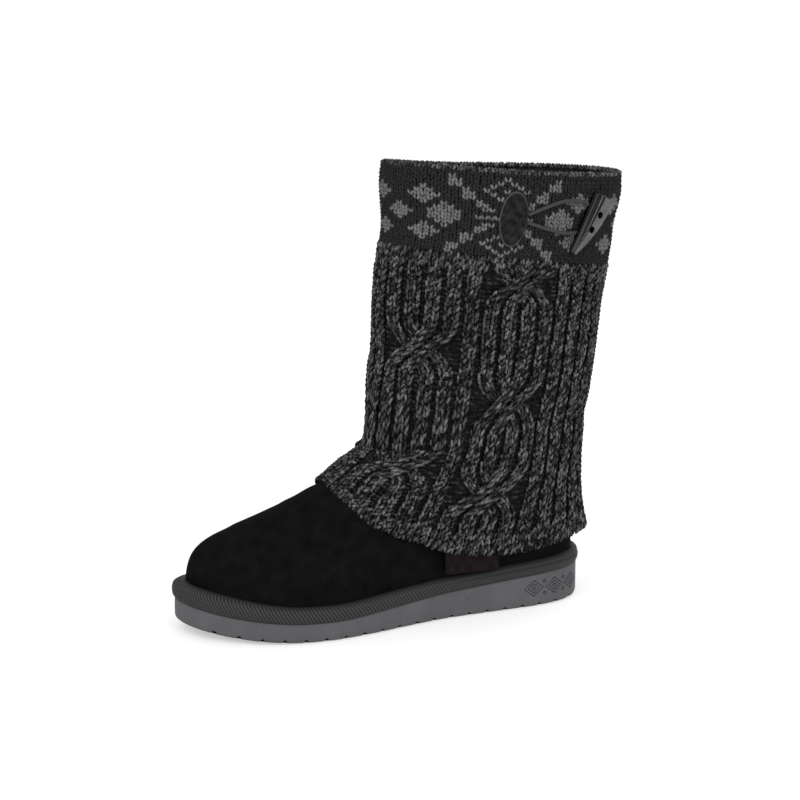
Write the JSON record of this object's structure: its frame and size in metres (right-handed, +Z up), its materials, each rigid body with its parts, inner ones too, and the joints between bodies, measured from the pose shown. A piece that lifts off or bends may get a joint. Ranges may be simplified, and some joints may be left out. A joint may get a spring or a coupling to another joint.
{
  "type": "knit-leg winter boot",
  "caption": "Left cold-weather boot with a black suede foot on a grooved grey sole and a cable-knit leg with a patterned band, closed by a horn toggle on a cord loop.",
  "frame": {"origin": "on the floor under the sole, at half of the sole's length and on the boot's long axis", "axes": "+Z up, -Y towards the toe, +X towards the outer side of the boot"},
  "size_m": [0.0991, 0.2977, 0.2852],
  "materials": {
    "sole_rubber": "matte",
    "rand_rubber": "matte",
    "footbed": "matte",
    "suede": "matte",
    "knit": "matte",
    "patch_suede": "matte",
    "cord": "matte",
    "horn": "gloss",
    "label": "matte"
  },
  "bodies": {
    "root": {"outsole": "sole_rubber", "rand": "rand_rubber", "insole": "footbed", "upper": "suede", "knit_shaft": "knit", "toggle_patch": "patch_suede", "toggle_loop": "cord", "toggle": "horn", "side_label": "label"}
  },
  "joints": []
}
